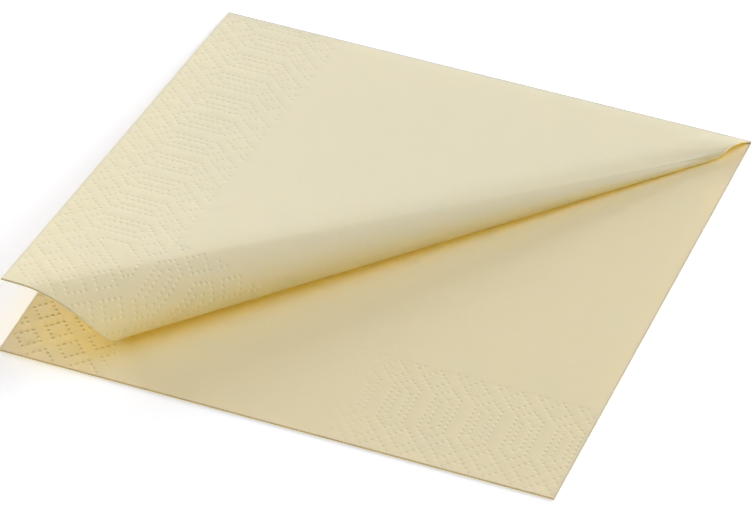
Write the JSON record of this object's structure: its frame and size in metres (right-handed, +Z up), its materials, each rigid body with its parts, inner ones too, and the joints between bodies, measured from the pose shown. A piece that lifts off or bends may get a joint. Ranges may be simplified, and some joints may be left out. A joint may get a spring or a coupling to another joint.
{
  "type": "folded paper napkin",
  "caption": "Square paper napkin folded to a quarter, its upper leaf standing slightly open with one corner turned under into a soft tapering roll.",
  "frame": {"origin": "middle of the underside, on the surface the napkin lies on", "axes": "+Z up; the back fold lies towards +Y and the side folds towards +X; the raw edges face -X and -Y"},
  "size_m": [0.165, 0.165, 0.0253],
  "materials": {
    "tissue": "soft matt cream tissue with a dotted embossed border"
  },
  "bodies": {
    "root": {"napkin": "tissue"}
  },
  "joints": []
}
